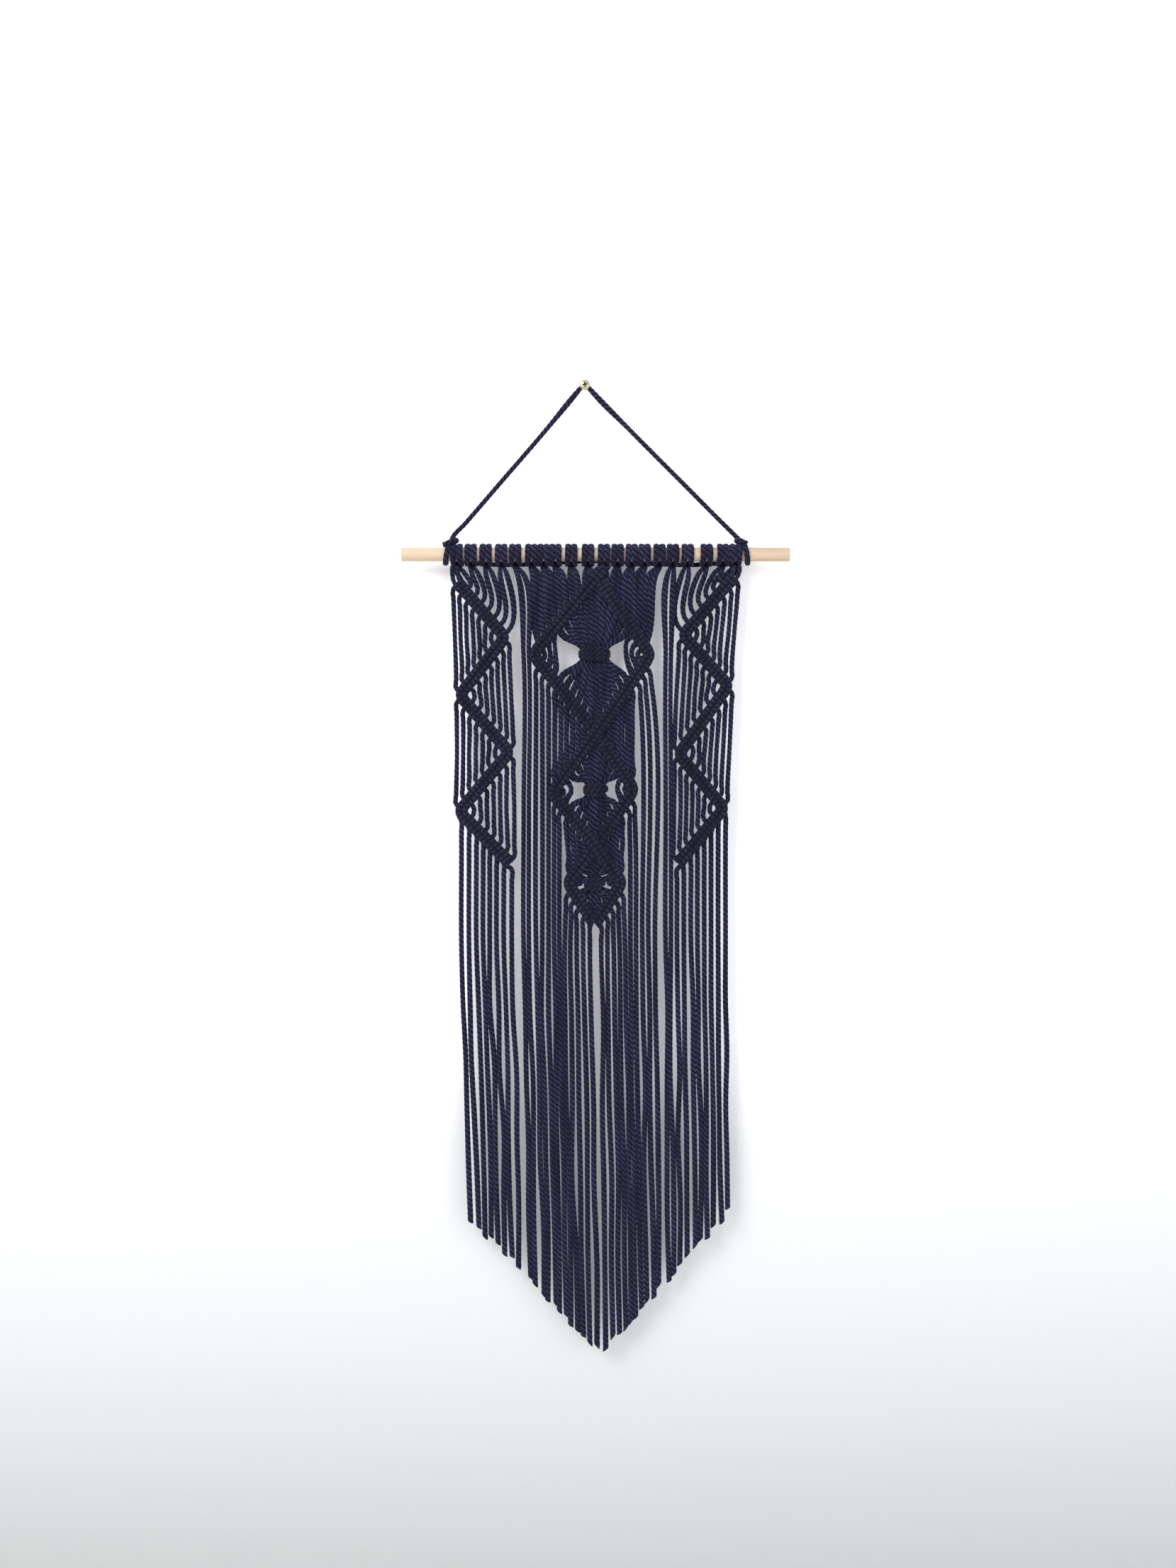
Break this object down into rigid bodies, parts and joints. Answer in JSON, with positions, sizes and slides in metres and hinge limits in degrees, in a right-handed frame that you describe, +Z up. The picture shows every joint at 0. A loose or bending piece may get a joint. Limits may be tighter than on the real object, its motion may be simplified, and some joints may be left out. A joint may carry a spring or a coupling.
{
  "type": "macrame wall hanging",
  "caption": "Wall hanging of knotted cotton cord on a wooden dowel, with zigzag side strips, a diamond centre panel and a long fringe cut to a V, on a cord hanger.",
  "frame": {"origin": "the point under the top of the hanger cord where it rests on its nail, in the plane of the dowel's axis", "axes": "+Z up, +X to the viewer's right along the dowel, -Y out of the front towards the viewer, +Y to the wall"},
  "size_m": [0.3556, 0.029, 0.886],
  "materials": {
    "wood": "pale sanded birch dowel, unvarnished",
    "cord": "dark navy three-strand twisted cotton cord, matt with a soft sheen",
    "knots": "the same navy cotton cord wrapped in tight rows of hitches",
    "hanger_cord": "the same navy cotton cord, pulled taut"
  },
  "bodies": {
    "hanger": {"hanger_cord": "hanger_cord", "hanger_hitch_left": "hanger_cord", "hanger_hitch_right": "hanger_cord", "hanger_return_run": "hanger_cord"},
    "dowel_rod": {"dowel": "wood"},
    "left_strip": {"cord_01": "cord", "cord_02": "cord", "cord_03": "cord", "cord_04": "cord", "left_ridge_1": "knots", "left_ridge_2": "knots", "left_ridge_3": "knots", "left_ridge_4": "knots", "left_ridge_5": "knots"},
    "left_pair": {"cord_05": "cord"},
    "centre_panel": {"cord_06": "cord", "cord_07": "cord", "cord_08": "cord", "cord_09": "cord", "cord_10": "cord", "cord_11": "cord", "cord_12": "cord", "cord_13": "cord", "cord_14": "cord", "cord_15": "cord", "diamond_1_upper_left": "knots", "diamond_1_lower_left": "knots", "diamond_1_upper_right": "knots", "diamond_1_lower_right": "knots", "diamond_1_knot": "knots", "diamond_2_upper_left": "knots", "diamond_2_lower_left": "knots", "diamond_2_upper_right": "knots", "diamond_2_lower_right": "knots", "diamond_2_knot": "knots", "diamond_3_upper_left": "knots", "diamond_3_lower_left": "knots", "diamond_3_upper_right": "knots", "diamond_3_lower_right": "knots", "diamond_3_knot": "knots"},
    "right_pair": {"cord_16": "cord"},
    "right_strip": {"cord_17": "cord", "cord_18": "cord", "cord_19": "cord", "cord_20": "cord", "right_ridge_1": "knots", "right_ridge_2": "knots", "right_ridge_3": "knots", "right_ridge_4": "knots", "right_ridge_5": "knots"}
  },
  "joints": [
    {"name": "dowel_slide", "type": "slide", "parent": "hanger", "child": "dowel_rod", "axis": [1, 0, 0], "range_m": [-0.036, 0.036]},
    {"name": "left_strip_swing", "type": "hinge", "parent": "hanger", "child": "left_strip", "pos_m": [0.0099, 0, -0.1555], "axis": [-1, 0, 0], "range_deg": [0, 60]},
    {"name": "left_pair_swing", "type": "hinge", "parent": "hanger", "child": "left_pair", "pos_m": [0.0099, 0, -0.1555], "axis": [-1, 0, 0], "range_deg": [0, 60]},
    {"name": "centre_panel_swing", "type": "hinge", "parent": "hanger", "child": "centre_panel", "pos_m": [0.0099, 0, -0.1555], "axis": [-1, 0, 0], "range_deg": [0, 60]},
    {"name": "right_pair_swing", "type": "hinge", "parent": "hanger", "child": "right_pair", "pos_m": [0.0099, 0, -0.1555], "axis": [-1, 0, 0], "range_deg": [0, 60]},
    {"name": "right_strip_swing", "type": "hinge", "parent": "hanger", "child": "right_strip", "pos_m": [0.0099, 0, -0.1555], "axis": [-1, 0, 0], "range_deg": [0, 60]}
  ]
}
